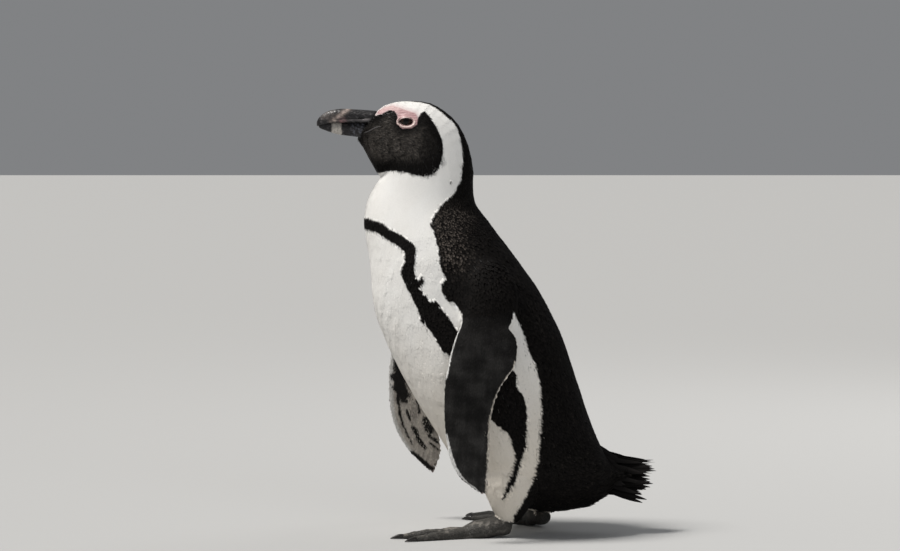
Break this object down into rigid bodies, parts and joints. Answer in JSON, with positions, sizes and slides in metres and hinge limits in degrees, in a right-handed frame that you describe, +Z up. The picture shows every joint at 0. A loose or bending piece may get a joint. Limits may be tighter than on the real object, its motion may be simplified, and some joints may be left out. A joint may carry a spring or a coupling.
{
  "type": "African penguin, adult, standing",
  "caption": "Life-size still model of an adult African penguin standing in mid-stride, flippers hanging, head level, with black chest band.",
  "frame": {"origin": "middle of the bounding box's footprint on the floor plane, under the bird", "axes": "+Z up, -Y the way the bill points, +X towards the bird's left side"},
  "size_m": [0.2416, 0.3738, 0.4541],
  "materials": {
    "black_feather": "matte overlapping feathers",
    "white_feather": "matte overlapping feathers",
    "flipper_feather": "satin, scale-like feathers",
    "bill_horn": "satin horn",
    "foot_skin": "matte scaly skin",
    "claw_horn": "satin horn",
    "eye": "wet gloss"
  },
  "bodies": {
    "root": {"head": "black_feather", "neck": "black_feather", "breast": "white_feather", "trunk": "black_feather", "rump": "black_feather", "tail": "black_feather", "bill_upper": "bill_horn", "bill_lower": "bill_horn", "eye_left": "eye", "eye_right": "eye", "flipper_left": "flipper_feather", "flipper_right": "flipper_feather", "leg_left": "white_feather", "leg_right": "white_feather", "foot_left": "foot_skin", "foot_right": "foot_skin", "claw_left_inner": "claw_horn", "claw_left_middle": "claw_horn", "claw_left_outer": "claw_horn", "claw_right_inner": "claw_horn", "claw_right_middle": "claw_horn", "claw_right_outer": "claw_horn"}
  },
  "joints": []
}
